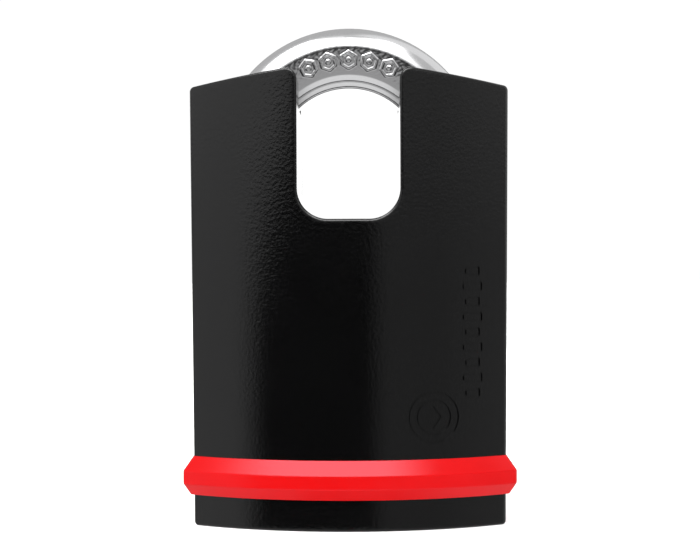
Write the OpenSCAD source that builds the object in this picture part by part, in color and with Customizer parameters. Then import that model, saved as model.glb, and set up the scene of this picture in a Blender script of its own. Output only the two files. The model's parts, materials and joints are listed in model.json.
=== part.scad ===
// Closed-shackle padlock: a tapered steel body with two tall shoulders that guard the shackle,
// a pin tumbler cylinder loaded from below, and two balls that a cam drives into the shackle.
// Origin at the middle of the bottom face, +Z up, +X to the right, the front face looks to -Y.
// Drawn closed and unlocked, with the pins at the shear line: a quarter turn of the plug locks it.

/* [Body] */
// Width across the flat sides at the shoulders
body_w = 64.8; // [64:0.2:66]
// Width across the flat sides at the bottom
foot_w = 63.2; // [62.6:0.2:64]
// Thickness at the middle of the crowned faces
body_depth = 36; // [36:0.5:40]
// Thickness along the flat sides
side_depth = 15; // [13:0.5:17]
// Height of the outer ends of the shoulders
shoulder_h = 89; // [88:0.5:92]
// Fall of the shoulder tops away from the notch, in degrees
shoulder_fall = 8.3; // [6:0.1:10]
// Width of the notch between the shoulders
notch_w = 20.5; // [18:0.5:22]
// Height of the notch floor
notch_floor_h = 61.8; // [61:0.2:64]
// Radius of the two corners of the notch floor
notch_r = 6.2; // [3:0.2:7]

/* [Shackle] */
// Diameter of the shackle wire
wire_d = 12; // [11:0.5:12]
// Distance from the axis of the body to the axis of each leg
leg_x = 21.7; // [21.5:0.1:22]
// Height of the centre of the bow
bow_z = 74.2; // [73:0.2:75]
// Height of the lower ends of the legs
leg_foot_z = 38; // [37.5:0.5:39]
// How far the flat inner pad of the bow stands proud of the round wire
pad_h = 0.7; // [0.4:0.1:0.9]
// Width of that pad, front to back
pad_w = 9; // [7:0.5:10]

/* [Bumper band] */
// Height of the lower edge of the rubber band
band_z = 6.3; // [6:0.1:8]
// Height of the band
band_h = 7.8; // [7:0.1:9]
// Height of the slope below the flat strip of the band
band_slope = 2.3; // [2:0.1:2.6]
// Height of the flat strip round the band
band_flat = 2.6; // [2:0.1:3]
// How far the band stands proud of the body
band_proud = 2.2; // [1.5:0.1:2.5]
// Depth of the groove that holds the band
band_seat = 1; // [0.8:0.1:1.2]

/* [Lock cylinder] */
// Diameter of the round part of the cylinder housing
housing_d = 22; // [21.6:0.1:22]
// Height of the top of the housing
housing_top = 36; // [35.8:0.1:36]
// Diameter of the plug
plug_d = 13; // [12.8:0.1:13.2]
// Outer end of the rib that holds the pin chambers
rib_y = 15.2; // [15:0.1:15.3]
// Width of the key slot
keyway_w = 8.4; // [8:0.1:8.6]
// Thickness of the key slot
keyway_t = 2.8; // [2.6:0.1:3]
// Diameter of the pins
pin_d = 3.4; // [3:0.1:3.5]
// Distance from one pin to the next
pin_pitch = 5.2; // [4.8:0.1:5.2]
// Height of the first pin
first_pin_z = 9; // [8.8:0.1:9.4]
// Length of the driver pins
driver_len = 4.4; // [4:0.1:4.6]

/* [Locking] */
// Height of the two locking balls
ball_z = 46; // [45.8:0.1:46.2]
// Diameter of the locking balls
ball_d = 8; // [7.6:0.1:8]
// Distance from the axis to a ball when unlocked
ball_in = 11.6; // [11.4:0.1:11.6]
// How far a ball moves into the shackle when locked
ball_travel = 2.9; // [2.5:0.1:3]
// Height of the cam
cam_h = 8.8; // [8:0.2:8.8]

/* [Ejector] */
// Height of the bottom of the ejector bore
ejector_floor = 18; // [17:0.5:20]
// Diameter of the ejector bore
ejector_bore_d = 9; // [8.8:0.1:9.4]

/* [Bottom plate] */
// Thickness of the bottom plate
plate_t = 2.5; // [2:0.1:2.5]
// Width of the rim of the body round the bottom plate
plate_rim = 2.4; // [2:0.1:2.4]

/* [Hidden] */
$fn = 64;

// Clearances: shackle legs in their bores, parts that drop into a pocket, turning and sliding fits
slide_gap = 0.3;
seat_gap = 0.15;
run_gap = 0.05;

// Crowned faces: two arcs that meet the flat sides
face_sag = (body_depth - side_depth) / 2;
face_r = (body_w * body_w / 4 + face_sag * face_sag) / (2 * face_sag);
face_y = face_r - body_depth / 2;
face_fn = 240;

// Outline corner radii
crest_r = 2.2;
corner_r = 1;
foot_r = 0.8;
side_lean = atan((body_w - foot_w) / 2 / shoulder_h);

// Band: the lips that lie on the body, and the rims of the groove that they cover
top_lip = 0.15;
low_lip = 0.7;
groove_rim = 0.4;

// Bores
wire_r = wire_d / 2;
leg_bore_r = wire_r + slide_gap;
leg_bore_floor = leg_foot_z - 4;
slot_half = wire_r + 0.2;
slot_arc_r = leg_x - wire_r - pad_h - 0.4;
ball_channel_r = ball_d / 2 + 0.2;
ball_notch_r = ball_d / 2 + 0.4;
housing_r = housing_d / 2;
main_bore_r = housing_r + seat_gap;
plug_r = plug_d / 2;
body_top = shoulder_h + body_w / 2;

// Stack along the axis of the body, from the plug up
plug_face_z = 0.4;
face_plate_t = 1.8;
plug_end_z = housing_top + 2.2;
plug_end_r = 6.2;
clip_t = 0.9;
clip_r = 8.4;
clip_groove_r = 5;
clip_gap_w = 5;
sleeve_z = housing_top + 0.1;
sleeve_h = 3.5;
sleeve_wall = 1.8;
bearing_z = sleeve_z + sleeve_h + 0.1;
bearing_t = 1.7;
bearing_bore_r = 5.2;
cam_z = ball_z - cam_h / 2;
cam_neck_z = cam_z + cam_h;
main_bore_top = cam_neck_z + 0.8;
cam_neck_r = 3.2;
cam_neck_h = 3.6;
spring_well_r = 6.2;
spring_well_top = main_bore_top + 3.2;
spindle_r = 2.5;
spindle_top = spring_well_top + 2.6;

// Cam: the radius grows evenly from the unlocked to the locked direction
cam_low_r = ball_in - ball_d / 2 - 0.25;
cam_high_r = cam_low_r + ball_travel;
cam_dwell = 10;
cam_step = 5;

// Tailpiece
tail_w = 8.6;
tail_t = 2.5;
tail_foot_z = housing_top - 1.5;
tail_top_z = cam_z + 4;

// Cylinder housing: foot and lug that carry its screws
housing_z = plate_t + 0.1;
foot_half_x = 24.5;
lug_half_y = 4.5;
foot_top = 8;
lug_top = 30;
rib_half = 4.5;
drain_x = 12.6;
drain_y = 9;
drain_r = 1.6;
drill_pin_x = 5.2;
drill_pin_y = -7.4;
drill_pin_r = 1;
drill_pin_len = 10;

// Screws of the bottom plate: shank, countersunk head and hexagon socket
plate_screw_x = 19;
plate_screw_len = 7;
plate_screw_r = 1.95;
plate_hole_r = 2.1;
plate_head_r = 3.5;
plate_head_h = 1.55;
plate_socket_r = 1.3;

// Screw of the cylinder, in line with the left leg
cyl_screw_r = 2.45;
cyl_screw_grip = 8;
cyl_head_r = 4.25;
cyl_head_h = 3;
cyl_socket_r = 2.3;

// Pins: cuts of the key that the key pins rest on, at the shear line
key_cuts = [0.4, 0.9, 0.6, 1.1, 0.3];
pin_count = len(key_cuts);
keyway_mid_y = -0.1;
keyway_top_y = keyway_mid_y + keyway_t / 2;
pin_r = pin_d / 2;
chamber_r = pin_r + run_gap;
key_pin_end = sqrt(plug_r * plug_r - pin_r * pin_r) - 0.02;
driver_end = plug_r + run_gap;
key_pin_point = 1.1;
key_pin_tip_r = 0.6;
driver_rim = 1.1;
driver_waist_r = 1.2;
cap_y = rib_y - 1.2;
cap_t = 1.1;

// Springs: turns, thickness of the wire and radius of the coil's middle line
pin_turns = 6;
pin_wire = 0.36;
pin_coil_r = 1.3;
ejector_turns = 8;
ejector_wire = 1.1;
ejector_coil_r = 3.7;
cam_turns = 2.5;
cam_wire = 0.9;
cam_coil_r = 4.9;
cam_coil_h = 2.6;

// Ejector plunger
ejector_top = leg_foot_z - 0.1;
ejector_head_r = wire_r - 0.3;
ejector_head_h = 2.8;
ejector_stem_r = 2.4;
ejector_stem_len = 13;

// ---- helpers ----

// Points along an arc in the plane of the outline
function arc(x, z, r, from, to, steps) =
  [for (i = [0:steps]) let (a = from + (to - from) * i / steps) [x + r * cos(a), z + r * sin(a)]];

// Height of the shoulder top at a distance from the axis
function shoulder_z(x) = shoulder_h + (body_w / 2 - x) * tan(shoulder_fall);

// Right half of the front outline, from the notch floor round to the bottom
function half_outline() = concat(
  arc(notch_w / 2 - notch_r, notch_floor_h + notch_r, notch_r, -90, 0, 8),
  arc(notch_w / 2 + crest_r, shoulder_z(notch_w / 2 + crest_r) - crest_r / cos(shoulder_fall),
    crest_r, 180, 90 - shoulder_fall, 6),
  arc(body_w / 2 - corner_r, shoulder_z(body_w / 2 - corner_r) - corner_r / cos(shoulder_fall),
    corner_r, 90 - shoulder_fall, -side_lean, 5),
  arc(foot_w / 2 - foot_r, foot_r, foot_r, -side_lean, -90, 4));

// The same list mirrored in X and in reverse order
function mirrored(points) = [for (i = [len(points) - 1:-1:0]) [-points[i][0], points[i][1]]];

// Extrudes an outline drawn in X and Z along Y
module along_y(depth) {
  rotate([90, 0, 0]) linear_extrude(height = depth, center = true) children();
}

// Space between the two crowned faces, moved outwards by grow
module between_faces(grow, z, h) {
  intersection() {
    translate([0, face_y, z]) cylinder(r = face_r + grow, h = h, $fn = face_fn);
    translate([0, -face_y, z]) cylinder(r = face_r + grow, h = h, $fn = face_fn);
  }
}

// Box that is centred in X and Y
module slab(half_x, half_y, z, h) {
  translate([-half_x, -half_y, z]) cube([2 * half_x, 2 * half_y, h]);
}

// Cylinder whose axis points to +Y, from y to y + h
module rod_y(r, y, z, h) {
  translate([0, y, z]) rotate([-90, 0, 0]) cylinder(r = r, h = h);
}

// Height of a compression spring's wire after t of its turns, with closed end turns
function coil_height(t, turns, wire, length) =
  t < 1 ? wire * t
  : t > turns - 1 ? length - wire * (turns - t)
  : wire + (length - 2 * wire) * (t - 1) / (turns - 2);

// Path of a spring's wire as [angle, height] pairs
function coil_path(turns, wire, length, steps) =
  [for (i = [0:turns * steps]) [360 * i / steps, coil_height(i / steps, turns, wire, length)]];

// Path of a torsion spring, with a straight tang at each end
function torsion_path(turns, length, tang, steps) = concat(
  [[0, -tang]],
  [for (i = [0:turns * steps]) [360 * i / steps, length * i / (turns * steps)]],
  [[360 * turns, length + tang]]);

function on_coil(p, r) = [r * cos(p[0]), r * sin(p[0]), p[1]];

// One ring of the wire's skin, square to the path
function wire_ring(path, i, r, wire_r, sides) =
  let (
    here = on_coil(path[i], r),
    ahead = on_coil(path[min(i + 1, len(path) - 1)], r),
    behind = on_coil(path[max(i - 1, 0)], r),
    along = (ahead - behind) / norm(ahead - behind),
    out = [cos(path[i][0]), sin(path[i][0]), 0],
    side = cross(along, out) / norm(cross(along, out)),
    out2 = cross(side, along))
  [for (k = [0:sides - 1])
    here + wire_r * (cos(360 * k / sides) * out2 + sin(360 * k / sides) * side)];

// Round wire that follows a path round the Z axis
module coil(path, r, wire, sides = 6) {
  rings = len(path);
  skin = [for (i = [0:rings - 1]) each wire_ring(path, i, r, wire / 2, sides)];
  walls = [for (i = [0:rings - 2], k = [0:sides - 1])
    each let (a = i * sides + k, b = i * sides + (k + 1) % sides)
      [[a, b, b + sides], [a, b + sides, a + sides]]];
  start = [for (k = [sides - 1:-1:0]) k];
  end = [for (k = [0:sides - 1]) (rings - 1) * sides + k];
  polyhedron(points = skin, faces = concat(walls, [start, end]), convexity = 10);
}

// ---- casing ----

// Hardened steel body: all bores are cut from above or from below
module body() {
  color("#202124") difference() {
    body_blank();
    shackle_space();
    cylinder_space();
    lock_space();
    band_groove();
  }
}

module body_blank() {
  intersection() {
    along_y(body_depth + 2) polygon(concat(half_outline(), mirrored(half_outline())));
    between_faces(0, -1, body_top);
  }
}

// Leg bores, the open slots that let the bow drop between the shoulders, and the ejector bore
module shackle_space() {
  for (side = [-1, 1]) {
    translate([side * leg_x, 0, leg_bore_floor]) cylinder(r = leg_bore_r, h = body_top);
  }
  along_y(2 * slot_half) polygon(concat(
    [[leg_x, body_top], [leg_x, bow_z]],
    arc(0, bow_z, slot_arc_r, 0, 180, 24),
    [[-leg_x, bow_z], [-leg_x, body_top]]));
  translate([leg_x, 0, ejector_floor]) cylinder(d = ejector_bore_d, h = leg_bore_floor);
}

// Pocket for the cylinder housing, its rib, foot and lug, and the recess for the bottom plate
module cylinder_space() {
  translate([0, 0, -1]) cylinder(r = main_bore_r, h = main_bore_top + 1);
  translate([-rib_half - seat_gap, 0, -1])
    cube([2 * (rib_half + seat_gap), rib_y + seat_gap, housing_top + seat_gap + 1]);
  slab(foot_half_x + seat_gap, lug_half_y + seat_gap, -1, foot_top + seat_gap + 1);
  translate([-foot_half_x - seat_gap, -lug_half_y - seat_gap, -1])
    cube([foot_half_x, 2 * (lug_half_y + seat_gap), lug_top + seat_gap + 1]);
  translate([-leg_x, 0, lug_top - 1]) cylinder(r = cyl_screw_r + 0.25, h = leg_bore_floor - lug_top + 2);
  plate_shape(0, -1, plate_t + 1.05);
}

// Well of the cam spring, bore of the cam's spindle, channel of the balls
module lock_space() {
  translate([0, 0, main_bore_top - 1])
    cylinder(r = spring_well_r, h = spring_well_top - main_bore_top + 1);
  translate([0, 0, spring_well_top - 1])
    cylinder(r = spindle_r + run_gap, h = spindle_top - spring_well_top + 1.4);
  translate([-leg_x, 0, ball_z]) rotate([0, 90, 0]) cylinder(r = ball_channel_r, h = 2 * leg_x);
}

module band_groove() {
  difference() {
    slab(body_w, body_w, band_z + groove_rim, band_h - 2 * groove_rim);
    intersection() {
      between_faces(-band_seat, 0, band_z + band_h + 1);
      slab(foot_w / 2 - band_seat, body_depth, 0, band_z + band_h + 1);
    }
  }
}

// Outline of the bottom plate, moved inwards by gap
module plate_shape(gap, z, h) {
  intersection() {
    between_faces(-plate_rim - gap, z, h);
    slab(foot_w / 2 - plate_rim - gap, body_depth, z, h);
  }
}

// Rubber ring: a flat strip between two slopes, seated in the groove of the body
module bumper_band() {
  color("#e01010") difference() {
    intersection() {
      translate([0, face_y, 0]) band_dish();
      translate([0, -face_y, 0]) band_dish();
      along_y(body_depth + 10) polygon(concat(band_edge(foot_w / 2), mirrored(band_edge(foot_w / 2))));
    }
    band_inside();
  }
}

// Outer edge of the band's section, beyond a surface at distance inner
function band_edge(inner) =
  let (flat_z = band_z + band_slope)
  [[inner + low_lip, band_z], [inner + band_proud, flat_z],
    [inner + band_proud, flat_z + band_flat], [inner + top_lip, band_z + band_h]];

module band_dish() {
  rotate_extrude($fn = face_fn) polygon(concat([[0, band_z]], band_edge(face_r), [[0, band_z + band_h]]));
}

// The body that the band wraps: its full section at the lips and the seat between them
module band_inside() {
  lip_h = groove_rim + run_gap;
  side_gap = run_gap + 0.1;
  intersection() {
    between_faces(run_gap, band_z - 1, band_h + 2);
    slab(foot_w / 2 + side_gap, body_depth, band_z - 1, band_h + 2);
    union() {
      slab(body_w, body_w, band_z - 1, lip_h + 1);
      slab(body_w, body_w, band_z + band_h - lip_h, lip_h + 1);
      intersection() {
        between_faces(run_gap - band_seat, band_z, band_h);
        slab(foot_w / 2 + run_gap - band_seat, body_depth, band_z, band_h);
      }
    }
  }
}

// Hardened plate that closes the bottom, with the key opening and two drain holes
module bottom_plate() {
  color("#3a3c40") difference() {
    plate_shape(seat_gap, 0, plate_t);
    translate([0, 0, -1]) cylinder(r = plug_r + 0.3, h = plate_t + 2);
    for (side = [-1, 1]) {
      translate([side * drain_x, side * drain_y, -1]) cylinder(r = drain_r, h = plate_t + 2);
      translate([side * plate_screw_x, 0, -1]) cylinder(r = plate_hole_r, h = plate_t + 2);
      translate([side * plate_screw_x, 0, -0.01])
        cylinder(r1 = plate_head_r + 0.21, r2 = plate_hole_r, h = plate_head_h + 0.07);
    }
  }
}

// Two countersunk screws that hold the plate to the foot of the cylinder housing
module plate_screws() {
  color("#8d9196") for (side = [-1, 1]) translate([side * plate_screw_x, 0, 0]) difference() {
    union() {
      translate([0, 0, 0.1]) cylinder(r1 = plate_head_r, r2 = plate_screw_r, h = plate_head_h);
      translate([0, 0, plate_head_h]) cylinder(r = plate_screw_r, h = plate_screw_len - plate_head_h);
    }
    translate([0, 0, -0.5]) cylinder(r = plate_socket_r, h = 1.5, $fn = 6);
  }
}

// ---- shackle ----

// Boron steel shackle: round legs, a bow with a flat inner pad, and a notch for each ball
module shackle() {
  color("#c9cccf") difference() {
    union() {
      translate([0, 0, bow_z]) rotate([90, 0, 0]) {
        rotate_extrude(angle = 180, $fn = 128) translate([leg_x, 0]) circle(r = wire_r);
        rotate([0, 0, 25]) rotate_extrude(angle = 130, $fn = 128) bow_pad();
      }
      for (side = [-1, 1]) translate([side * leg_x, 0, leg_foot_z]) leg();
    }
    for (side = [-1, 1]) {
      translate([side * (ball_in + ball_travel), 0, ball_z]) rotate([90, 0, 0])
        cylinder(r = ball_notch_r, h = 4 * wire_d, center = true);
    }
  }
}

module bow_pad() {
  inner_r = leg_x - wire_r - pad_h;
  polygon([[inner_r, -pad_w / 2 + 1], [inner_r, pad_w / 2 - 1], [inner_r + 1, pad_w / 2],
    [inner_r + 2.6, pad_w / 2], [inner_r + 2.6, -pad_w / 2], [inner_r + 1, -pad_w / 2]]);
}

module leg() {
  lead = 1;
  cylinder(r1 = wire_r - lead, r2 = wire_r, h = lead);
  translate([0, 0, lead]) cylinder(r = wire_r, h = bow_z - leg_foot_z - lead);
}

// ---- lock cylinder ----

// Brass housing: a round barrel, the rib of the pin chambers, and a foot and lug for the screws
module cylinder_housing() {
  color("#c9a84c") difference() {
    union() {
      translate([0, 0, housing_z]) cylinder(r = housing_r, h = housing_top - housing_z);
      translate([-rib_half, 0, housing_z]) cube([2 * rib_half, rib_y, housing_top - housing_z]);
      slab(foot_half_x, lug_half_y, housing_z, foot_top - housing_z);
      translate([-foot_half_x, -lug_half_y, housing_z])
        cube([foot_half_x, 2 * lug_half_y, lug_top - housing_z]);
    }
    translate([0, 0, -1]) cylinder(r = plug_r + run_gap, h = housing_top + 2);
    for (i = [1:pin_count]) rod_y(chamber_r, 2, pin_z(i), rib_y);
    for (side = [-1, 1]) {
      translate([side * plate_screw_x, 0, 0])
        cylinder(r = plate_screw_r + run_gap, h = plate_screw_len + 0.6);
      translate([side * drill_pin_x, drill_pin_y, 0])
        cylinder(r = drill_pin_r + run_gap, h = housing_z + drill_pin_len + 0.6);
    }
    translate([-leg_x, 0, lug_top - cyl_screw_grip - 2])
      cylinder(r = cyl_screw_r + run_gap, h = cyl_screw_grip + 3);
  }
}

// Plug that the key turns: pin bores, the key slot, a groove for the clip and a slot for the tailpiece
module cylinder_plug() {
  bottom = plug_face_z + face_plate_t + 0.02;
  groove_z = housing_top + 0.03;
  color("#d8bc66") difference() {
    union() {
      translate([0, 0, bottom]) cylinder(r = plug_r, h = groove_z - bottom);
      translate([0, 0, groove_z - 1]) cylinder(r = clip_groove_r, h = plug_end_z - groove_z);
      translate([0, 0, groove_z + clip_t + 0.1])
        cylinder(r = plug_end_r, h = plug_end_z - groove_z - clip_t - 0.1);
    }
    keyway(-1, housing_top - 2);
    for (i = [1:pin_count]) rod_y(chamber_r, keyway_mid_y, pin_z(i), plug_r + 2);
    slab(tail_w / 2 + 0.1, tail_t / 2 + 0.05, tail_foot_z - 0.1, 6);
  }
}

function pin_z(i) = first_pin_z + (i - 1) * pin_pitch;

// Flat key slot with a rib along one side
module keyway(z, h) {
  difference() {
    translate([-keyway_w / 2, keyway_mid_y - keyway_t / 2, z]) cube([keyway_w, keyway_t, h]);
    translate([keyway_w / 2 - 1.1, keyway_mid_y - keyway_t / 2 - 0.5, z - 1]) cube([2, 1.4, h + 2]);
  }
}

// Hardened disc in front of the plug
module plug_face_plate() {
  color("#b4b7bb") difference() {
    translate([0, 0, plug_face_z]) cylinder(r = plug_r - 0.1, h = face_plate_t);
    keyway(-1, plug_face_z + face_plate_t + 2);
  }
}

// Open ring that keeps the plug in the housing
module plug_clip() {
  color("#9fa3a8") difference() {
    translate([0, 0, housing_top + 0.08]) cylinder(r = clip_r, h = clip_t);
    translate([0, 0, housing_top - 1]) cylinder(r = clip_groove_r + run_gap, h = clip_t + 2);
    translate([-clip_gap_w / 2, 0, housing_top - 1]) cube([clip_gap_w, 2 * clip_r, clip_t + 2]);
  }
}

// Flat blade that carries the turn of the plug up to the cam
module tailpiece() {
  color("#a9adb2") slab(tail_w / 2, tail_t / 2, tail_foot_z, tail_top_z - tail_foot_z);
}

// Hardened pins beside the key slot that stop a drill
module anti_drill_pins() {
  color("#84888d") for (side = [-1, 1]) {
    translate([side * drill_pin_x, drill_pin_y, housing_z + 0.2])
      cylinder(r = drill_pin_r, h = drill_pin_len);
  }
}

// Screw that holds the cylinder, reached down the left leg bore when the shackle is out
module cylinder_screw() {
  shank_z = lug_top - cyl_screw_grip;
  color("#8d9196") translate([-leg_x, 0, 0]) difference() {
    union() {
      translate([0, 0, leg_bore_floor + run_gap]) cylinder(r = cyl_head_r, h = cyl_head_h);
      translate([0, 0, shank_z]) cylinder(r = cyl_screw_r, h = leg_bore_floor + 0.1 - shank_z);
    }
    translate([0, 0, leg_bore_floor + 1.2]) cylinder(r = cyl_socket_r, h = cyl_head_h, $fn = 6);
  }
}

// ---- pins ----

// Key pin: its pointed end rests in the key, its flat end is at the shear line
module key_pin(i) {
  tip_y = keyway_top_y - key_cuts[i - 1];
  shoulder_y = tip_y + key_pin_point;
  color("#d9c27a") {
    translate([0, tip_y, pin_z(i)]) rotate([-90, 0, 0])
      cylinder(r1 = key_pin_tip_r, r2 = pin_r, h = key_pin_point);
    rod_y(pin_r, shoulder_y, pin_z(i), key_pin_end - shoulder_y);
  }
}

// Driver pin, waisted so that it catches when the plug is forced
module driver_pin(i) {
  slope = 0.3;
  edge = 0.2;
  color("#b9bdc2") translate([0, driver_end, pin_z(i)]) rotate([-90, 0, 0]) rotate_extrude() polygon([
    [0, 0], [pin_r - edge, 0], [pin_r, edge], [pin_r, driver_rim], [driver_waist_r, driver_rim + slope],
    [driver_waist_r, driver_len - driver_rim - slope], [pin_r, driver_len - driver_rim],
    [pin_r, driver_len], [0, driver_len]]);
}

module pin_spring(i) {
  start_y = driver_end + driver_len + pin_wire / 2 + 0.02;
  length = cap_y - start_y - pin_wire / 2 - 0.02;
  color("#c3c6ca") translate([0, start_y, pin_z(i)]) rotate([-90, 0, 0])
    coil(coil_path(pin_turns, pin_wire, length, 12), pin_coil_r, pin_wire);
}

module chamber_cap(i) {
  color("#caa94f") rod_y(pin_r + 0.02, cap_y, pin_z(i), cap_t);
}

// ---- locking parts ----

// Ring that spaces the bearing plate off the housing and clears the clip
module spacer_sleeve() {
  color("#7d8288") difference() {
    translate([0, 0, sleeve_z]) cylinder(r = housing_r, h = sleeve_h);
    translate([0, 0, sleeve_z - 1]) cylinder(r = housing_r - sleeve_wall, h = sleeve_h + 2);
  }
}

// Plate that the cam turns on
module bearing_plate() {
  color("#9a9fa5") difference() {
    translate([0, 0, bearing_z]) cylinder(r = housing_r, h = bearing_t);
    translate([0, 0, bearing_z - 1]) cylinder(r = bearing_bore_r, h = bearing_t + 2);
  }
}

// Radius of the cam at an angle from the unlocked direction: it rises, stays high for the dwell and falls
function cam_r(a) =
  a <= 90 ? cam_low_r + ball_travel * a / 90
  : a <= 90 + cam_dwell ? cam_high_r
  : a <= 180 - cam_dwell ? cam_high_r - ball_travel * (a - 90 - cam_dwell) / (90 - 2 * cam_dwell)
  : cam_low_r;

// Cam with two rising lobes: a quarter turn pushes both balls out
module locking_cam() {
  color("#8f949a") difference() {
    union() {
      translate([0, 0, cam_z]) linear_extrude(height = cam_h)
        polygon([for (a = [0:cam_step:360 - cam_step]) cam_r(a % 180) * [cos(-a), sin(-a)]]);
      translate([0, 0, cam_neck_z - 1]) cylinder(r = cam_neck_r, h = cam_neck_h + 1);
      translate([0, 0, cam_neck_z]) cylinder(r = spindle_r, h = spindle_top - cam_neck_z);
    }
    slab(tail_w / 2 + 0.1, tail_t / 2 + 0.1, cam_z - 1, tail_top_z - cam_z + 1.2);
  }
}

// Torsion spring that turns the cam back
module cam_spring() {
  color("#c3c6ca") translate([0, 0, cam_neck_z + cam_wire / 2 + 0.15])
    coil(torsion_path(cam_turns, cam_coil_h, 0.1, 16), cam_coil_r, cam_wire);
}

module ball(side) {
  color("#d5d8db") translate([side * ball_in, 0, ball_z]) sphere(d = ball_d);
}

// ---- ejector ----

// Plunger that lifts the right leg: its spring grips the bore below and the stem above
module ejector_plunger() {
  under_head = ejector_top - ejector_head_h;
  color("#9a9fa5") translate([leg_x, 0, 0]) {
    translate([0, 0, under_head]) cylinder(r = ejector_head_r, h = ejector_head_h);
    translate([0, 0, under_head - ejector_stem_len]) cylinder(r = ejector_stem_r, h = ejector_stem_len + 0.1);
  }
}

module ejector_spring() {
  length = ejector_top - ejector_head_h - ejector_floor - ejector_wire - 2 * run_gap;
  color("#c3c6ca") translate([leg_x, 0, ejector_floor + ejector_wire / 2 + run_gap])
    coil(coil_path(ejector_turns, ejector_wire, length, 14), ejector_coil_r, ejector_wire);
}

body();
shackle();
bumper_band();
bottom_plate();
plate_screws();
cylinder_housing();
cylinder_plug();
plug_face_plate();
plug_clip();
tailpiece();
anti_drill_pins();
cylinder_screw();
spacer_sleeve();
bearing_plate();
locking_cam();
cam_spring();
ball(-1);  // ball_left
ball(1);  // ball_right
ejector_plunger();
ejector_spring();
for (i = [1:pin_count]) {
  key_pin(i);
  driver_pin(i);
  pin_spring(i);
  chamber_cap(i);
}
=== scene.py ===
import json
import math

import bmesh
import bpy
from mathutils import Matrix, Vector


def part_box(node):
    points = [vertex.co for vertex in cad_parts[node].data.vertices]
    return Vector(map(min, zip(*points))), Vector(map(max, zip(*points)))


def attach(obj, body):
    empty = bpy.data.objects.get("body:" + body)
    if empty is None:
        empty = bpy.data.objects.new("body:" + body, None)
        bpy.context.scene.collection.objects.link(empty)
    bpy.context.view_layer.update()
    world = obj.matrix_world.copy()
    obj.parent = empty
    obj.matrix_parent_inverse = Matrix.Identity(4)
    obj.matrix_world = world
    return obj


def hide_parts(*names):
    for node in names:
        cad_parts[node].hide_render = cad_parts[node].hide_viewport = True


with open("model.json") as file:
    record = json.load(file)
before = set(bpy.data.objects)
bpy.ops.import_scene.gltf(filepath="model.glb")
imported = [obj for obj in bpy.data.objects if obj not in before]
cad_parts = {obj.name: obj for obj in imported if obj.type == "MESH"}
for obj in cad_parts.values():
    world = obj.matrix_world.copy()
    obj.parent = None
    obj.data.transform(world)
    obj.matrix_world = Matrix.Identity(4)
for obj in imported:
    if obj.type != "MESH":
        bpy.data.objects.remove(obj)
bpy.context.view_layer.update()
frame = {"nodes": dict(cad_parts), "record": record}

MM = 0.001

# ---- sizes, from the frame where a node's box gives them ----

BODY_LO, BODY_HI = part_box("body")
BAND_LO, BAND_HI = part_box("bumper_band")
SHACKLE_LO, SHACKLE_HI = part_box("shackle")
PLATE_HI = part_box("bottom_plate")[1]
HOUSING_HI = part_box("cylinder_housing")[1]
SLEEVE_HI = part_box("spacer_sleeve")[1]
CAM_LO, CAM_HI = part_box("locking_cam")
SPRING_LO, SPRING_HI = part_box("ejector_spring")
BALL_LO, BALL_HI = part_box("ball_right")

# Body: half widths, crowned faces and the outline of its front
HALF_TOP = BODY_HI[0]
HALF_FOOT = 31.6 * MM
HALF_DEPTH = BODY_HI[1]
HALF_SIDE_DEPTH = 7.5 * MM
FACE_SAG = HALF_DEPTH - HALF_SIDE_DEPTH
FACE_R = (HALF_TOP ** 2 + FACE_SAG ** 2) / (2 * FACE_SAG)
SHOULDER_H = 89 * MM
SHOULDER_FALL = math.radians(8.3)
NOTCH_HALF = 10.25 * MM
NOTCH_FLOOR = 61.8 * MM
NOTCH_R = 6.2 * MM
CREST_R = 2.2 * MM
CORNER_R = 1 * MM
FOOT_R = 0.8 * MM
EDGE_R = 0.6 * MM
ABOVE_BODY = SHOULDER_H + HALF_TOP

# Shackle
WIRE_R = (SHACKLE_HI[1] - SHACKLE_LO[1]) / 2
LEG_X = SHACKLE_HI[0] - WIRE_R
LEG_FOOT = SHACKLE_LO[2]
BOW_Z = SHACKLE_HI[2] - LEG_X - WIRE_R
PAD_H = 0.7 * MM
LEG_BORE_R = WIRE_R + 0.3 * MM
SLOT_HALF = WIRE_R + 0.2 * MM
SLOT_ARC_R = LEG_X - WIRE_R - PAD_H - 0.4 * MM
LEG_BORE_FLOOR = LEG_FOOT - 4 * MM

# Balls
BALL_R = (BALL_HI[2] - BALL_LO[2]) / 2
BALL_Z = (BALL_HI[2] + BALL_LO[2]) / 2
BALL_TRAVEL = 2.9 * MM
BALL_LOCKED_X = BALL_LO[0] + BALL_R + BALL_TRAVEL

# Band: how far it stands out, how deep it sits, and the parts of its profile
BAND_PROUD = BAND_HI[1] - HALF_DEPTH
BAND_SEAT = 1 * MM
BAND_SLOPE = 2.3 * MM
BAND_FLAT = 2.6 * MM
TOP_LIP = 0.15 * MM
LOW_LIP = 0.7 * MM

# Clearance between an inner part and its pocket, and the body's rim round the bottom plate
SEAT_GAP = 0.15 * MM
PLATE_RIM = HALF_DEPTH - PLATE_HI[1] - SEAT_GAP

# Points closer than this are one
MERGE = 1e-6


# ---- mesh helpers ----

def mesh_object(name, verts, faces):
    mesh = bpy.data.meshes.new(name)
    mesh.from_pydata([tuple(v) for v in verts], [], faces)
    mesh.update()
    obj = bpy.data.objects.new(name, mesh)
    bpy.context.scene.collection.objects.link(obj)
    return obj


def clean(obj, merge=0.0):
    """Merges points closer than merge, where it is given, and turns every face outwards."""
    bm = bmesh.new()
    bm.from_mesh(obj.data)
    if merge:
        bmesh.ops.remove_doubles(bm, verts=bm.verts, dist=merge)
    bmesh.ops.recalc_face_normals(bm, faces=bm.faces)
    bm.to_mesh(obj.data)
    bm.free()
    return obj


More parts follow.
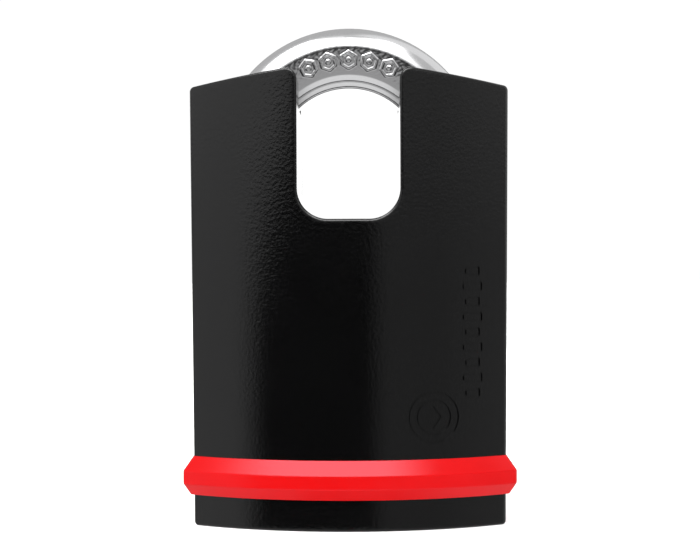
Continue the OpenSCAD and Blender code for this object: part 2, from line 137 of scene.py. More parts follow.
def loft(name, loops, closed=False):
    """Solid through loops of equal length.

    Where closed is set the last loop joins the first, and otherwise both ends are capped.
    """
    n = len(loops[0])
    verts = [v for loop in loops for v in loop]
    faces = []
    count = len(loops)
    for i in range(count if closed else count - 1):
        a, b = i * n, (i + 1) % count * n
        for k in range(n):
            m = (k + 1) % n
            faces.append((a + k, a + m, b + m, b + k))
    if not closed:
        faces.append(tuple(reversed(range(n))))
        faces.append(tuple(range((count - 1) * n, count * n)))
    return clean(mesh_object(name, verts, faces))


def apply_modifiers(obj):
    graph = bpy.context.evaluated_depsgraph_get()
    mesh = bpy.data.meshes.new_from_object(obj.evaluated_get(graph))
    obj.modifiers.clear()
    old = obj.data
    obj.data = mesh
    bpy.data.meshes.remove(old)
    return obj


def cut(obj, cutters):
    """Takes the cutters out of a solid in one exact boolean, and deletes them."""
    group = bpy.data.collections.new("cutters")
    mod = obj.modifiers.new("cut", "BOOLEAN")
    mod.operation = "DIFFERENCE"
    mod.solver = "EXACT"
    if len(cutters) == 1:
        mod.object = cutters[0]
    else:
        for cutter in cutters:
            group.objects.link(cutter)
        mod.operand_type = "COLLECTION"
        mod.collection = group
    apply_modifiers(obj)
    for cutter in cutters:
        mesh = cutter.data
        bpy.data.objects.remove(cutter)
        bpy.data.meshes.remove(mesh)
    bpy.data.collections.remove(group)
    return obj


def smooth(obj, angle=30):
    """Smooth shading with sharp creases above an angle, and normals that follow the large faces."""
    mesh = obj.data
    mesh.polygons.foreach_set("use_smooth", [True] * len(mesh.polygons))
    mesh.set_sharp_from_angle(angle=math.radians(angle))
    mod = obj.modifiers.new("normals", "WEIGHTED_NORMAL")
    mod.mode = "FACE_AREA"
    mod.keep_sharp = True
    return obj


def circle(cx, cy, r, steps):
    """Points of a circle in a plane."""
    turns = [math.tau * k / steps for k in range(steps)]
    return [(cx + r * math.cos(a), cy + r * math.sin(a)) for a in turns]


def rod(cx, cy, r, z0, z1):
    """Upright cylinder."""
    return loft("cutter", [[(x, y, z) for x, y in circle(cx, cy, r, 96)] for z in (z0, z1)])


def rod_x(r, x0, x1, cz):
    """Cylinder along X."""
    return loft("cutter", [[(x, y, z) for y, z in circle(0, cz, r, 64)] for x in (x0, x1)])


def rod_y(cx, r, y0, y1, cz):
    """Cylinder along Y."""
    return loft("cutter", [[(x, y, z) for x, z in circle(cx, cz, r, 96)] for y in (y0, y1)])


def block(x0, x1, y0, y1, z0, z1):
    return loft("cutter", [[(x0, y0, z), (x1, y0, z), (x1, y1, z), (x0, y1, z)] for z in (z0, z1)])


def arc(cx, cz, r, start, end, steps):
    """Points on an arc in the plane of the outline; angles in degrees."""
    out = []
    for i in range(steps + 1):
        a = math.radians(start + (end - start) * i / steps)
        out.append((cx + r * math.cos(a), cz + r * math.sin(a)))
    return out


def smoothstep(low, high, value):
    t = min(1.0, max(0.0, (value - low) / (high - low)))
    return t * t * (3 - 2 * t)


# ---- body ----

def face_depth(x, grow=0.0):
    """Half thickness of the body at a distance from its axis."""
    return math.sqrt((FACE_R + grow) ** 2 - x * x) - FACE_R + HALF_DEPTH


def shoulder_z(x):
    return SHOULDER_H + (HALF_TOP - x) * math.tan(SHOULDER_FALL)


def front_outline():
    """Closed outline of the body seen from the front, clockwise."""
    fall = math.degrees(SHOULDER_FALL)
    lean = math.degrees(math.atan((HALF_TOP - HALF_FOOT) / SHOULDER_H))
    crest_x = NOTCH_HALF + CREST_R
    crest_z = shoulder_z(crest_x) - CREST_R / math.cos(SHOULDER_FALL)
    corner_x = HALF_TOP - CORNER_R
    corner_z = shoulder_z(corner_x) - CORNER_R / math.cos(SHOULDER_FALL)
    half = arc(NOTCH_HALF - NOTCH_R, NOTCH_FLOOR + NOTCH_R, NOTCH_R, -90, 0, 16)
    half += arc(crest_x, crest_z, CREST_R, 180, 90 - fall, 10)
    half += arc(corner_x, corner_z, CORNER_R, 90 - fall, -lean, 8)
    half += arc(HALF_FOOT - FOOT_R, FOOT_R, FOOT_R, -lean, -90, 6)
    points = half + [(-x, z) for x, z in reversed(half)]
    return densify(points, 1.2 * MM)


def densify(points, step):
    """Splits each edge of a closed outline that is longer than step."""
    out = []
    for i, (x0, z0) in enumerate(points):
        x1, z1 = points[(i + 1) % len(points)]
        parts = max(1, math.ceil(math.hypot(x1 - x0, z1 - z0) / step))
        out += [(x0 + (x1 - x0) * k / parts, z0 + (z1 - z0) * k / parts) for k in range(parts)]
    return out


def inset(points, distance):
    """The outline moved inwards; the body lies on the right of its direction."""
    out = []
    n = len(points)
    for i, (x, z) in enumerate(points):
        ax, az = points[i - 1]
        bx, bz = points[(i + 1) % n]
        tx, tz = bx - ax, bz - az
        length = math.hypot(tx, tz)
        out.append((x + distance * tz / length, z - distance * tx / length))
    return out


def body_shell():
    """Outer form with rounded edges: built flat, then bent to the crowned faces."""
    outline = front_outline()
    steps, strips = 4, 80
    rings = []
    for k in range(steps + 1):
        a = math.radians(90 * k / steps)
        points = inset(outline, EDGE_R * (1 - math.sin(a)))
        rings.append([(x, -(HALF_DEPTH - EDGE_R * (1 - math.cos(a))), z) for x, z in points])
    rings += [[(x, -y, z) for x, y, z in ring] for ring in reversed(rings)]
    shell = loft("padlock_body", rings)
    bm = bmesh.new()
    bm.from_mesh(shell.data)
    bmesh.ops.triangulate(bm, faces=[f for f in bm.faces if len(f.verts) > 4])
    for i in range(1, strips):
        x = HALF_TOP * (2 * i / strips - 1)
        bmesh.ops.bisect_plane(bm, geom=bm.verts[:] + bm.edges[:] + bm.faces[:], dist=1e-7,
                               plane_co=(x, 0, 0), plane_no=(1, 0, 0))
    for v in bm.verts:
        bend = HALF_DEPTH - face_depth(v.co.x)
        if v.co.y < 0:
            v.co.y += bend
        else:
            v.co.y -= bend
    bm.to_mesh(shell.data)
    bm.free()
    return clean(shell, MERGE)


def corner_curve(a, b, c):
    """Points between a and c on a short curve drawn towards the corner b."""
    steps = 6
    out = []
    for i in range(1, steps):
        t = i / steps
        out.append(tuple((1 - t) ** 2 * a[j] + 2 * t * (1 - t) * b[j] + t * t * c[j] for j in (0, 1)))
    return out


def lens_loop(grow, half_x, z, corner=0.0):
    """Loop round the body's section, moved outwards by grow and cut off at half_x."""
    arc_steps, side_steps = 64, 6
    arc_x = half_x - corner
    corner_y = face_depth(half_x, grow)
    side_y = corner_y - corner
    across = [-arc_x + 2 * arc_x * i / arc_steps for i in range(arc_steps + 1)]
    face = [(x, -face_depth(x, grow)) for x in across]
    side = [(half_x, -side_y + 2 * side_y * i / side_steps) for i in range(side_steps + 1)]
    if corner:
        front_curve = corner_curve(face[-1], (half_x, -corner_y), side[0])
        back_curve = corner_curve(side[-1], (half_x, corner_y), (arc_x, face_depth(arc_x, grow)))
        half = face + front_curve + side + back_curve
    else:
        half = face + side[1:-1]
    return [(x, y, z) for x, y in half + [(-x, -y) for x, y in half]]


def stadium(r):
    """Outline of a slot that runs from inside the notch to a round end about the leg's axis."""
    inner_x = NOTCH_HALF - 1 * MM
    return [(inner_x, -r)] + arc(LEG_X, 0, r, -90, 90, 32) + [(inner_x, r)]


def mouth_chamfer(side):
    """Bevel round the mouth of the shackle slot, following the slope of the shoulder."""
    width, clear, above = 0.4 * MM, 0.3 * MM, 2 * MM
    levels = ((-clear, -width - clear), (width + clear, clear), (width + clear, above))
    return loft("cutter", [[(side * x, y, shoulder_z(x) + lift) for x, y in stadium(LEG_BORE_R + grow)]
                           for grow, lift in levels])


def shackle_slot():
    """Slot for the bow: open at the top, round below."""
    points = [(LEG_X, ABOVE_BODY), (LEG_X, BOW_Z)] + arc(0, BOW_Z, SLOT_ARC_R, 0, 180, 48)
    points += [(-LEG_X, BOW_Z), (-LEG_X, ABOVE_BODY)]
    return loft("cutter", [[(x, y, z) for x, z in points] for y in (-SLOT_HALF, SLOT_HALF)])


def band_groove():
    """Groove that the band sits in, narrower than the band by a lip at both edges."""
    lip, outer = 0.4 * MM, 10 * MM
    z0, z1 = BAND_LO[2] + lip, BAND_HI[2] - lip
    loops = [lens_loop(-BAND_SEAT, HALF_FOOT - BAND_SEAT, z0), lens_loop(outer, HALF_FOOT + outer, z0),
             lens_loop(outer, HALF_FOOT + outer, z1), lens_loop(-BAND_SEAT, HALF_FOOT - BAND_SEAT, z1)]
    return loft("cutter", loops, closed=True)


def inner_pockets():
    """Cutters of the pockets that hold the lock's inner parts, which overlap where they meet."""
    under, overlap = -1 * MM, 1 * MM
    main_top = CAM_LO[2] + 9.6 * MM
    chest_half = 4.5 * MM + SEAT_GAP
    foot_x = HOUSING_HI[0] + SEAT_GAP
    foot_top, lug_top = 8 * MM + SEAT_GAP, 30 * MM + SEAT_GAP
    screw_r, spring_r, pivot_r, ejector_r = 2.7 * MM, 6.2 * MM, 2.55 * MM, 4.5 * MM
    spring_top, pivot_low = main_top + 3.2 * MM, main_top + 2 * MM
    pivot_top = CAM_HI[2] + 0.4 * MM
    channel_r = BALL_R + 0.2 * MM
    ejector_x = (SPRING_LO[0] + SPRING_HI[0]) / 2
    ejector_low = SPRING_LO[2] - 0.05 * MM
    return [
        rod(0, 0, SLEEVE_HI[0] + SEAT_GAP, under, main_top),
        block(-chest_half, chest_half, 0, HOUSING_HI[1] + SEAT_GAP, under, HOUSING_HI[2] + SEAT_GAP),
        block(-foot_x, foot_x, -chest_half, chest_half, under, foot_top),
        block(-foot_x, 0, -chest_half, chest_half, under, lug_top),
        rod(-LEG_X, 0, screw_r, lug_top - overlap, LEG_BORE_FLOOR + overlap),
        rod(0, 0, spring_r, main_top - overlap, spring_top),
        rod(0, 0, pivot_r, pivot_low, pivot_top),
        rod_x(channel_r, -LEG_X, LEG_X, BALL_Z),
        rod(ejector_x, 0, ejector_r, ejector_low, LEG_BORE_FLOOR + overlap),
    ]


def mark_cutter(outline, hole=None, depth=0.3 * MM):
    """Prism that sinks an outline, and not its hole, into the front face by depth."""
    clear = -1 * MM

    def ring(points, level):
        return [(x, -face_depth(x) + level, z) for x, z in points]

    loops = [ring(outline, clear), ring(outline, depth)]
    if hole:
        loops += [ring(hole, depth), ring(hole, clear)]
    return loft("cutter", loops, closed=bool(hole))


def rounded_bar(cx, cz, half_x, half_z, r):
    """Outline of a bar with round corners, always with the same number of points."""
    points = []
    for sx, sz, start in ((1, -1, -90), (1, 1, 0), (-1, 1, 90), (-1, -1, 180)):
        points += arc(cx + sx * (half_x - r), cz + sz * (half_z - r), r, start, start + 90, 4)
    return split_edges(points, 4)


def split_edges(points, parts):
    """Divides each edge of a closed outline into equal parts."""
    out = []
    for i, (x0, z0) in enumerate(points):
        x1, z1 = points[(i + 1) % len(points)]
        out += [(x0 + (x1 - x0) * k / parts, z0 + (z1 - z0) * k / parts) for k in range(parts)]
    return out


def front_marks():
    """Blank engraved ornament: a column of plain bars, and a ring round a lozenge."""
    bar_x, bar_low, bar_pitch, bars = 24.6 * MM, 27 * MM, 3.05 * MM, 9
    wide, narrow, half_high, bar_r = 2.1 * MM, 1.6 * MM, 0.95 * MM, 0.4 * MM
    hole_in, hole_half_high, hole_r = 0.42 * MM, 0.5 * MM, 0.15 * MM
    ring_x, ring_z, ring_line = 16.6 * MM, 22.4 * MM, 0.5 * MM
    ring_radii = (5.2 * MM, 3.6 * MM)
    lozenge_half_x, lozenge_half_z = 1.7 * MM, 2.3 * MM
    cutters = []
    for i in range(bars):
        half_x = wide if i % 2 else narrow
        z = bar_low + i * bar_pitch
        cutters.append(mark_cutter(rounded_bar(bar_x, z, half_x, half_high, bar_r),
                                   rounded_bar(bar_x, z, half_x - hole_in, hole_half_high, hole_r)))
    for r in ring_radii:
        cutters.append(mark_cutter(arc(ring_x, ring_z, r, 0, 354, 59),
                                   arc(ring_x, ring_z, r - ring_line, 0, 354, 59)))
    lozenge = [(ring_x + lozenge_half_x, ring_z), (ring_x, ring_z + lozenge_half_z),
               (ring_x - lozenge_half_x, ring_z), (ring_x, ring_z - lozenge_half_z)]
    cutters.append(mark_cutter(densify(lozenge, 0.7 * MM)))
    return cutters


def plate_recess():
    """Recess for the bottom plate, open below."""
    under, top = -1 * MM, PLATE_HI[2] + 0.05 * MM
    return loft("cutter", [lens_loop(-PLATE_RIM, HALF_FOOT - PLATE_RIM, z) for z in (under, top)])


def make_body():
    body = body_shell()
    cutters = [mouth_chamfer(-1), mouth_chamfer(1), shackle_slot(), band_groove()]
    cutters += [rod(x, 0, LEG_BORE_R, LEG_BORE_FLOOR, ABOVE_BODY) for x in (-LEG_X, LEG_X)]
    cutters.append(plate_recess())
    cut(body, cutters + inner_pockets() + front_marks())
    clean(body, MERGE)
    return smooth(body, 28)


# ---- shackle ----

# Section of the bow: the round wire, a flattened front panel, a slope and an inner face.
# Each line of the section is its distance from the wire's middle and the angle of its normal,
# where 0 points away from the bow's centre and 90 to the front. Angles are in degrees.
PANEL_D, PANEL_A, PANEL_HALF = 5.22 * MM, 104.0, 31.6
PANEL_BULGE = 0.15 * MM
SLOPE_D, SLOPE_A = 5.88 * MM, 121.7
FACE_D = WIRE_R + PAD_H
PANEL_BLEND, SLOPE_BLEND, FACE_BLEND = 0.2 * MM, 0.06 * MM, 0.3 * MM
# The wire grows past this angle, so that only the panel and the slope shape the inner front
WIRE_GROWS_FROM, WIRE_GROWTH = 95, 0.03 * MM
# Two grooves in the slope: the angle and the depth of each
GROOVES = ((145.7, 0.065 * MM), (155.8, 0.06 * MM))
GROOVE_WIDTH = 0.13 * MM
# The bow has its full section up to one angle from its top, and is round from the other
FULL_SECTION_TO, ROUND_FROM = 58, 74

# Stamped ornament on the panel: five raised hexagon rings, each round a pip
STAMP_HALF = 38.0
STAMP_LOW, STAMP_HIGH = -3.6 * MM, 1.6 * MM
STAMP_RISE = 0.19 * MM
FLANK_LOW, FLANK_HIGH = -0.14 * MM, 0.18 * MM
FADE_ANGLE, FADE_WIDTH = 6, 0.8 * MM
BOSS_STEP = 11.8
BOSS_LAST = 2
BOSS_LEVEL = -1.15 * MM
BOSS_R = 1.42 * MM
BOSS_RIM = 0.24 * MM
PIP_R = 0.5 * MM

# Waves of the struck metal: their height, their radians a metre, and those of the slower waves
# that they sway with, by so many radians
DENT = 0.009 * MM
WAVES_U, WANDER_U = 5200, 3100
WAVES_V, WANDER_V = 4700, 2900
SWAY_U, SWAY_V = 3, 2.5


def hexagon(u, v, r):
    """Signed distance to a hexagon with flats r from its centre."""
    u, v = abs(u), abs(v)
    return max(u, u * 0.5 + v * math.sqrt(3) / 2) - r


def struck_unevenness(u, v):
    """Slight waves of the struck metal round the stamping."""
    along = math.sin(u * WAVES_U + SWAY_U * math.sin(v * WANDER_V))
    across = math.sin(v * WAVES_V + SWAY_V * math.sin(u * WANDER_U))
    return DENT * (along + across)


def stamp_relief(alpha, rho):
    """Height of the stamping at an angle from the top of the bow and a distance from the wire's middle."""
    if not STAMP_LOW < rho < STAMP_HIGH or abs(alpha) > STAMP_HALF:
        return 0.0
    waves = struck_unevenness(math.radians(alpha) * LEG_X, rho)
    waves *= smoothstep(0, FADE_ANGLE, STAMP_HALF - abs(alpha)) * smoothstep(0, FADE_WIDTH, rho - STAMP_LOW)
    nearest = max(-BOSS_LAST, min(BOSS_LAST, round(alpha / BOSS_STEP)))
    u = math.radians(alpha - nearest * BOSS_STEP) * (LEG_X + BOSS_LEVEL)
    v = rho - BOSS_LEVEL
    rim = abs(hexagon(u, v, BOSS_R)) - BOSS_RIM
    pip = math.hypot(u, v) - PIP_R
    return waves + STAMP_RISE * (1 - smoothstep(FLANK_LOW, FLANK_HIGH, min(rim, pip)))


def section_angles():
    """Angles round the wire, close together where the section has detail."""
    spans = ((0, 60, 4.0), (60, 130, 1.1), (130, 137, 0.7), (137, 143, 1.5), (143, 149, 0.45),
             (149, 153, 1.0), (153, 161, 0.45), (161, 208, 3.0), (208, 360, 4.0))
    angles = []
    for start, end, step in spans:
        count = round((end - start) / step)
        angles += [start + (end - start) * i / count for i in range(count)]
    return angles


def soft_min(a, b, width):
    """The lesser of two values, blended where they are within width of each other."""
    h = max(0.0, 1 - abs(a - b) / width)
    return min(a, b) - h * h * width / 4


def line_reach(distance, normal, phi):
    """Distance along a ray to a line of the section; far away where the ray runs almost along it."""
    least, far = 0.2, 1.0
    c = math.cos(math.radians(phi - normal))
    return distance / c if c > least else far


def section_reach(phi, alpha):
    """Radius of the shaped bow at an angle round the wire and an angle from the top of the bow."""
    front = phi <= 180
    turn = phi if front else 360 - phi
    slope = soft_min(line_reach(SLOPE_D, SLOPE_A, turn), line_reach(FACE_D, 180, turn), FACE_BLEND)
    if not front:
        return min(slope, WIRE_R) if turn < SLOPE_A else slope
    for at, depth in GROOVES:
        off = math.radians(turn - at) * slope
        slope -= depth * math.exp(-(off / GROOVE_WIDTH) ** 2)
    panel = line_reach(PANEL_D, PANEL_A, turn)
    if abs(turn - PANEL_A) < PANEL_HALF:
        panel += PANEL_BULGE * (1 - ((turn - PANEL_A) / PANEL_HALF) ** 2)
        panel += stamp_relief(alpha, panel * math.cos(math.radians(turn)))
    wire = WIRE_R + max(0.0, turn - WIRE_GROWS_FROM) * WIRE_GROWTH
    return soft_min(soft_min(wire, panel, PANEL_BLEND), slope, SLOPE_BLEND)


def bow_ring(alpha, angles):
    """Ring of the bow at an angle from its top, in degrees: shaped in the middle, round at its ends."""
    shaped = 1 - smoothstep(FULL_SECTION_TO, ROUND_FROM, abs(alpha))
    a = math.radians(90 - alpha)
    ring = []
    for phi in angles:
        reach = WIRE_R
        if shaped > 0:
            reach += (section_reach(phi, alpha) - WIRE_R) * shaped
        r = LEG_X + reach * math.cos(math.radians(phi))
        ring.append((r * math.cos(a), -reach * math.sin(math.radians(phi)), BOW_Z + r * math.sin(a)))
    return ring


def leg_ring(side, z, r, angles):
    """Round ring of one leg at a height."""
    ring = []
    for phi in angles:
        a = math.radians(phi)
        ring.append((side * (LEG_X + r * math.cos(a)), -r * math.sin(a), z))
    return ring


def leg_levels():
    """Height and radius of each ring of a leg: a tapered lead at the foot, then the full wire."""
    lead, rim, taper, steps = 1 * MM, 0.1 * MM, 0.9, 12
    levels = [(LEG_FOOT, WIRE_R - lead), (LEG_FOOT + 0.02 * MM, WIRE_R - lead + rim)]
    for angle in (20, 40, 60, 80):
        rise = math.sin(math.radians(angle))
        levels.append((LEG_FOOT + lead * rise, WIRE_R - lead * (1 - rise) * taper))
    full = LEG_FOOT + lead
    return levels + [(full + (BOW_Z - LEG_FOOT - lead) * i / steps, WIRE_R) for i in range(steps)]


def bow_angles():
    """Angles of the bow's rings, close together under the stamping."""
    fine, coarse, slack = 0.3, 2.0, 0.01
    angles = []
    alpha = -90.0
    while alpha < 90 + slack:
        angles.append(alpha)
        alpha += fine if -STAMP_HALF <= alpha + slack < STAMP_HALF else coarse
    return angles


def make_shackle():
    angles = section_angles()
    levels = leg_levels()
    rings = [leg_ring(-1, z, r, angles) for z, r in levels]
    rings += [bow_ring(alpha, angles) for alpha in bow_angles()]
    rings += [leg_ring(1, z, r, angles) for z, r in reversed(levels)]
    shackle = loft("padlock_shackle", rings)
    ball_notch_r = BALL_R + 0.4 * MM
    for x in (-BALL_LOCKED_X, BALL_LOCKED_X):
        cut(shackle, [rod_y(x, ball_notch_r, -2 * WIRE_R, 2 * WIRE_R, BALL_Z)])
    return smooth(shackle, 40)


# ---- bumper band ----

def rounded_profile(corners, steps=4):
    """Closed profile whose corners are (offset, z, radius), each rounded by a short curve."""
    out = []
    n = len(corners)
    for i, (x, z, r) in enumerate(corners):
        if r == 0:
            out.append((x, z))
            continue
        b = Vector((x, z))
        before = Vector(corners[i - 1][:2]) - b
        after = Vector(corners[(i + 1) % n][:2]) - b
        a = b + before.normalized() * r
        c = b + after.normalized() * r
        for k in range(steps + 1):
            t = k / steps
            out.append(tuple(a * (1 - t) ** 2 + b * 2 * t * (1 - t) + c * t * t))
    return out


def make_band():
    low, high = BAND_LO[2], BAND_HI[2]
    flat_low = low + BAND_SLOPE
    flat_high = flat_low + BAND_FLAT
    skin, seat = 0.06 * MM, 0.46 * MM
    inner = 0.05 * MM - BAND_SEAT
    side_x, side_share = HALF_FOOT + 0.05 * MM, 0.97
    profile = rounded_profile([
        (inner, low + seat, 0), (skin, low + seat, 0), (skin, low, 0), (LOW_LIP, low, 0.12 * MM),
        (BAND_PROUD, flat_low, 0.25 * MM), (BAND_PROUD, flat_high, 0.2 * MM),
        (TOP_LIP, high, 0.06 * MM), (skin, high, 0), (skin, high - seat, 0), (inner, high - seat, 0)])
    loops = [lens_loop(d, side_x + d * side_share, z, corner=0.5 * MM) for d, z in profile]
    band = loft("rubber_band", loops, closed=True)
    return smooth(band, 50)


# ---- materials ----

class Nodes:
    """Builds the nodes of one material, in the object's own coordinates."""

    def __init__(self, name):
        self.material = bpy.data.materials.new(name)
        self.material.use_nodes = True
        self.tree = self.material.node_tree
        self.shader = self.tree.nodes["Principled BSDF"]
        coords = self.add("ShaderNodeTexCoord")
        self.object = coords.outputs["Object"]

    def add(self, kind, **values):
        node = self.tree.nodes.new(kind)
        for key, value in values.items():
            setattr(node, key, value)
        return node

    def link(self, out, into):
        self.tree.links.new(out, into)

    def noise(self, scale, detail=3.0, rough=0.5):
        node = self.add("ShaderNodeTexNoise")
        node.inputs["Scale"].default_value = scale
        node.inputs["Detail"].default_value = detail
        node.inputs["Roughness"].default_value = rough
        self.link(self.object, node.inputs["Vector"])
        return node.outputs["Fac"]

    def ramp(self, value, low, high, to_low, to_high):
        node = self.add("ShaderNodeMapRange")
        node.inputs["From Min"].default_value = low
        node.inputs["From Max"].default_value = high
        node.inputs["To Min"].default_value = to_low
        node.inputs["To Max"].default_value = to_high
        self.link(value, node.inputs["Value"])
        return node.outputs["Result"]

    def colours(self, value, low, high):
        node = self.add("ShaderNodeMix", data_type="RGBA")
        self.link(value, node.inputs["Factor"])
        node.inputs["A"].default_value = (*low, 1)
        node.inputs["B"].default_value = (*high, 1)
        return node.outputs["Result"]

    def bump(self, height, strength, distance, under=None):
        node = self.add("ShaderNodeBump")
        node.inputs["Strength"].default_value = strength
        node.inputs["Distance"].default_value = distance
        self.link(height, node.inputs["Height"])
        if under is not None:
            self.link(under, node.inputs["Normal"])
        return node.outputs["Normal"]

    def surface(self, colour, rough, normal=None, metallic=0.0, **extra):
        self.link(colour, self.shader.inputs["Base Color"])
        self.link(rough, self.shader.inputs["Roughness"])
        self.shader.inputs["Metallic"].default_value = metallic
        if normal is not None:
            self.link(normal, self.shader.inputs["Normal"])
        for key, value in extra.items():
            self.shader.inputs[key.replace("_", " ")].default_value = value
        return self.material


def powder_coat(name, base):
    """Black powder coat: fine orange peel over a slower swell."""
    n = Nodes(name)
    peel = n.noise(1700, 1.5, 0.5)
    swell = n.noise(800, 2.0, 0.5)
    patch = n.noise(60, 3.0, 0.6)
    colour = n.colours(patch, (base * 0.8,) * 3, (base * 1.25, base * 1.25, base * 1.35))
    rough = n.ramp(patch, 0.3, 0.7, 0.09, 0.12)
    normal = n.bump(peel, 0.5, 0.06 * MM, n.bump(swell, 0.06, 0.04 * MM))
    return n.surface(colour, rough, normal)


def satin_steel(name, tone, rough_low, rough_high, grain=900, bump=0.06):
    """Plated or ground steel with a soft grain."""
    n = Nodes(name)
    fine = n.noise(grain, 4.0, 0.6)
    cloud = n.noise(90, 3.0, 0.6)
    colour = n.colours(cloud, tuple(c * 0.93 for c in tone), tone)
    rough = n.ramp(cloud, 0.3, 0.7, rough_low, rough_high)
    return n.surface(colour, rough, n.bump(fine, bump, 0.03 * MM), metallic=1.0)


def red_rubber(name):
    """Glossy red rubber with a faint mould grain."""
    n = Nodes(name)
    fine = n.noise(2200, 3.0, 0.6)
    cloud = n.noise(120, 3.0, 0.55)
    colour = n.colours(cloud, (0.45, 0.0006, 0.0005), (0.51, 0.001, 0.0008))
    rough = n.ramp(cloud, 0.3, 0.7, 0.15, 0.2)
    normal = n.bump(fine, 0.1, 0.04 * MM)
    return n.surface(colour, rough, normal, Specular_Tint=(1, 0.82, 1, 1), Specular_IOR_Level=0.3)


def brass(name, tone):
    """Machined brass, a little dulled."""
    n = Nodes(name)
    turned = n.noise(700, 5.0, 0.65)
    cloud = n.noise(70, 3.0, 0.6)
    colour = n.colours(cloud, tuple(c * 0.88 for c in tone), tone)
    rough = n.ramp(cloud, 0.3, 0.7, 0.26, 0.38)
    return n.surface(colour, rough, n.bump(turned, 0.08, 0.04 * MM), metallic=1.0)


def floor_finish():
    n = Nodes("floor")
    fine = n.noise(30, 3.0, 0.5)
    colour = n.colours(fine, (0.93, 0.93, 0.93), (0.95, 0.95, 0.95))
    rough = n.ramp(fine, 0.3, 0.7, 0.7, 0.8)
    return n.surface(colour, rough, Emission_Color=(1, 1, 1, 1), Emission_Strength=0.25)


FINISHES = {
    "body": powder_coat("powder_coat", 0.0014),
    "shackle": satin_steel("satin_chrome", (0.80, 0.80, 0.81), 0.16, 0.2),
    "bumper_band": red_rubber("red_rubber"),
    "plate": powder_coat("black_plate", 0.012),
    "screws": satin_steel("zinc_screw", (0.58, 0.59, 0.6), 0.28, 0.38),
    "housing": brass("housing_brass", (0.72, 0.55, 0.25)),
    "plug": brass("plug_brass", (0.78, 0.61, 0.3)),
    "hard_steel": satin_steel("ground_steel", (0.5, 0.51, 0.53), 0.28, 0.4, 500, 0.12),
    "driver_pins": satin_steel("turned_steel", (0.62, 0.63, 0.65), 0.2, 0.3),
    "balls": satin_steel("bearing_steel", (0.75, 0.76, 0.78), 0.06, 0.1),
    "springs": satin_steel("spring_wire", (0.66, 0.67, 0.68), 0.25, 0.35),
}


# ---- pieces ----

SLOT_OF = {row["node"]: row["material_slot"] for row in frame["record"]["subparts"]}


def finish_piece(obj, node, body):
    """Gives a piece the finish of the node that it replaces, and ties it to the node's body."""
    slot = SLOT_OF[node]
    obj.data.materials.clear()
    obj.data.materials.append(FINISHES[slot])
    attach(obj, body)
    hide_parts(node)


def finish_cad():
    """Materials for every CAD node, with softened edges on those of the underside."""
    for node, obj in frame["nodes"].items():
        obj.data.materials.clear()
        obj.data.materials.append(FINISHES[SLOT_OF[node]])
        if node in ("bottom_plate", "plate_screws", "plug_face_plate"):
            bevel = obj.modifiers.new("edges", "BEVEL")
            bevel.width = 0.12 * MM
            bevel.segments = 2
            bevel.limit_method = "ANGLE"
            bevel.angle_limit = math.radians(40)


finish_cad()
finish_piece(make_body(), "body", "case")
finish_piece(make_shackle(), "shackle", "shackle")
finish_piece(make_band(), "bumper_band", "case")


# ---- stage, light and camera ----

# How bright each part of the studio is in the object's reflections; the camera sees only white
CAMERA_WHITE = 1.02
DARK_LEVEL = 0.015
UPPER_LEVEL = 0.2
LEFT_PANEL = 0.64
RIGHT_PANEL = 0.26
FAR_RIGHT_PANEL = 0.08
CEILING = 0.3
SOFTBOX = 6.5
VISOR = 0.75
BACKDROP = 1.4
TABLE_FAR = 0.35
TABLE_NEAR = 0.5
TABLE_SHADE = 0.6

# Lights: their place, and their power in watts
FRONT_FILL = ((-0.35, -0.7, 0.35), 1.5)
BACK_FILL = ((0.35, 0.7, 0.35), 3.0)
FILL_TARGET = (0, 0, 0.05)
FILL_SIZE = 0.4

# Camera
LENS = 83.85
CAMERA_X, CAMERA_Y = 3 * MM, -339 * MM
TARGET_X = 0.07 * MM
BELOW_MIDDLE = 1.25 * MM
ROLL = -0.22


def make_floor():
    """White ground that runs to the horizon, and isn't mirrored in the object."""
    half = 30.0
    verts = [(-half, -half, 0), (half, -half, 0), (half, half, 0), (-half, half, 0)]
    floor = mesh_object("floor", verts, [(0, 1, 2, 3)])
    floor.data.materials.append(floor_finish())
    floor.visible_glossy = False


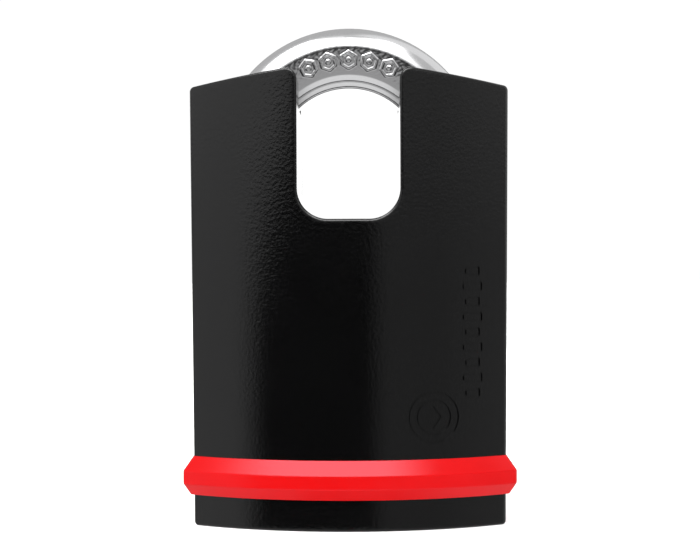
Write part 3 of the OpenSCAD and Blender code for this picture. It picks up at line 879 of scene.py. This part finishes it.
def make_world():
    """White studio for the camera, and for all other rays a dark one with bright parts.

    The bright parts are panels at both sides, a ceiling, a softbox above, a visor high in front,
    a backdrop behind and a table below. The direction of a ray is x, y, z, and -y is the front.
    """
    world = bpy.data.worlds.new("studio")
    bpy.context.scene.world = world
    world.use_nodes = True
    tree = world.node_tree
    tree.nodes.clear()

    def math_node(operation, a, b=0.0):
        node = tree.nodes.new("ShaderNodeMath")
        node.operation = operation
        for i, value in enumerate((a, b)):
            if isinstance(value, (int, float)):
                node.inputs[i].default_value = value
            else:
                tree.links.new(value, node.inputs[i])
        return node.outputs[0]

    def rise(value, low, high, top):
        """Smooth step from 0 at low to top at high."""
        node = tree.nodes.new("ShaderNodeMapRange")
        node.interpolation_type = "SMOOTHSTEP"
        node.inputs["From Min"].default_value = low
        node.inputs["From Max"].default_value = high
        node.inputs["To Max"].default_value = top
        tree.links.new(value, node.inputs["Value"])
        return node.outputs["Result"]

    def limit(level, *edges):
        """Fades a level out past each edge, given as a value and the two ends of its fade."""
        for value, low, high in edges:
            level = math_node("MULTIPLY", level, math_node("SUBTRACT", 1.0, rise(value, low, high, 1.0)))
        return level

    coords = tree.nodes.new("ShaderNodeTexCoord")
    split = tree.nodes.new("ShaderNodeSeparateXYZ")
    tree.links.new(coords.outputs["Generated"], split.inputs[0])
    x, y, z = split.outputs
    left_x = math_node("MULTIPLY", x, -1.0)
    down = math_node("MULTIPLY", z, -1.0)

    # How far a direction is to the right, for someone who looks at the object from that side
    flat = math_node("SQRT", math_node("ADD", math_node("MULTIPLY", x, x), math_node("MULTIPLY", y, y)))
    facing = math_node("MULTIPLY", math_node("SIGN", y), -1.0)
    across = math_node("MULTIPLY", math_node("DIVIDE", x, math_node("MAXIMUM", flat, 0.001)), facing)

    # The left panel reaches further in as it rises
    height = math_node("MINIMUM", math_node("MAXIMUM", z, 0.0), 0.12)
    bowed = math_node("MULTIPLY", height, 2.5)
    left = rise(math_node("SUBTRACT", bowed, across), 0.60, 0.82, LEFT_PANEL)
    right = math_node("ADD", rise(across, 0.10, 0.30, RIGHT_PANEL), rise(across, 0.6, 0.95, FAR_RIGHT_PANEL))
    ceiling = rise(z, 0.30, 0.55, CEILING)
    softbox = limit(rise(z, 0.5, 0.74, SOFTBOX), (z, 0.935, 0.985), (y, -0.05, 0.15), (x, 0.15, 0.5),
                    (left_x, 0.35, 0.75))
    visor = limit(rise(z, 0.15, 0.4, VISOR), (y, -0.7, -0.4))
    backdrop = limit(rise(y, 0.5, 0.7, BACKDROP), (math_node("ABSOLUTE", x), 0.14, 0.30),
                     (math_node("ABSOLUTE", z), 0.12, 0.45))
    table = math_node("ADD", rise(down, 0.15, 0.30, TABLE_FAR), rise(down, 0.55, 0.75, TABLE_NEAR))
    table = math_node("SUBTRACT", table, rise(down, 0.89, 0.94, TABLE_SHADE))
    panels = left
    for panel in (right, ceiling, visor, softbox, backdrop, table):
        panels = math_node("MAXIMUM", panels, panel)
    ground = math_node("ADD", rise(z, 0.03, 0.13, UPPER_LEVEL), DARK_LEVEL)
    level = math_node("ADD", ground, panels)

    light_path = tree.nodes.new("ShaderNodeLightPath")
    camera_only = tree.nodes.new("ShaderNodeMix")
    camera_only.data_type = "FLOAT"
    tree.links.new(light_path.outputs["Is Camera Ray"], camera_only.inputs["Factor"])
    tree.links.new(level, camera_only.inputs["A"])
    camera_only.inputs["B"].default_value = CAMERA_WHITE
    background = tree.nodes.new("ShaderNodeBackground")
    output = tree.nodes.new("ShaderNodeOutputWorld")
    background.inputs["Color"].default_value = (1, 1, 1, 1)
    tree.links.new(camera_only.outputs["Result"], background.inputs["Strength"])
    tree.links.new(background.outputs[0], output.inputs[0])


def fill_light(name, place, power):
    """Soft square light that shows neither to the camera nor in reflections."""
    light = bpy.data.lights.new(name, "AREA")
    light.shape = "SQUARE"
    light.size = FILL_SIZE
    light.energy = power
    obj = bpy.data.objects.new(name, light)
    obj.location = place
    obj.rotation_euler = (Vector(FILL_TARGET) - Vector(place)).to_track_quat("-Z", "Y").to_euler()
    obj.visible_camera = False
    obj.visible_glossy = False
    bpy.context.scene.collection.objects.link(obj)


def make_camera():
    """Almost straight-on view, with the eye just below half the height of the object."""
    middle = (BODY_LO[2] + SHACKLE_HI[2]) / 2 - BELOW_MIDDLE
    camera = bpy.data.cameras.new("camera")
    camera.sensor_width = 36
    camera.lens = LENS
    camera.clip_start = 0.01
    obj = bpy.data.objects.new("camera", camera)
    place = Vector((CAMERA_X, CAMERA_Y, middle))
    target = Vector((TARGET_X, 0, middle))
    roll = Matrix.Rotation(math.radians(ROLL), 4, "Z")
    aim = (target - place).to_track_quat("-Z", "Y").to_matrix().to_4x4()
    obj.matrix_world = Matrix.Translation(place) @ aim @ roll
    bpy.context.scene.collection.objects.link(obj)
    bpy.context.scene.camera = obj


make_floor()
make_world()
fill_light("front_fill", *FRONT_FILL)
fill_light("back_fill", *BACK_FILL)
make_camera()
bpy.context.scene.view_settings.view_transform = "Standard"
